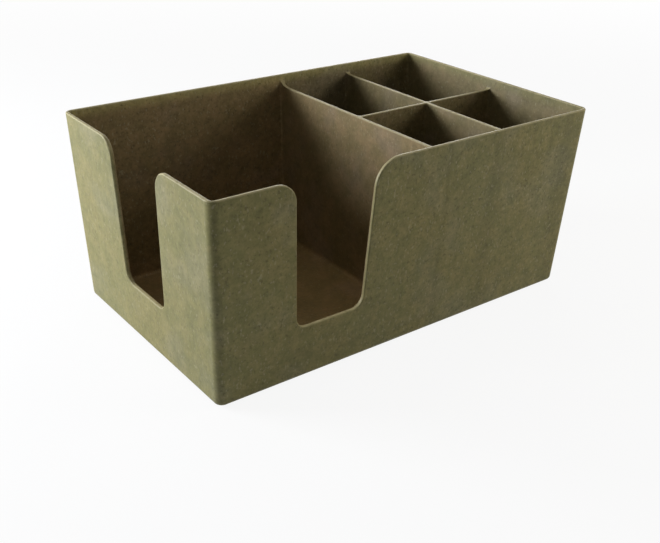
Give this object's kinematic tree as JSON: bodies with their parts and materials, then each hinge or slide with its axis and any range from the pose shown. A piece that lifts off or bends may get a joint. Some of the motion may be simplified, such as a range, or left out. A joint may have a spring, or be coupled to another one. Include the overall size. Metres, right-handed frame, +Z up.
{
  "type": "bar caddy",
  "caption": "Open rectangular table caddy of speckled fibre-filled plastic with a napkin bay, tall hand slots in two walls, small cells behind a divider, and soft feet.",
  "frame": {"origin": "on the table that the feet stand on, under the middle of the box", "axes": "+X along the length from the napkin bay to the cells, +Y from the slotted front wall to the back wall, +Z up"},
  "size_m": [0.24, 0.149, 0.1074],
  "materials": {
    "fibre_plastic": "satin moulded plastic filled with fine plant fibre, olive brown with dark and light flecks",
    "foot_rubber": "matt soft rubber"
  },
  "bodies": {
    "root": {"caddy_body": "fibre_plastic", "front_left_foot": "foot_rubber", "front_right_foot": "foot_rubber", "back_left_foot": "foot_rubber", "back_right_foot": "foot_rubber"}
  },
  "joints": []
}
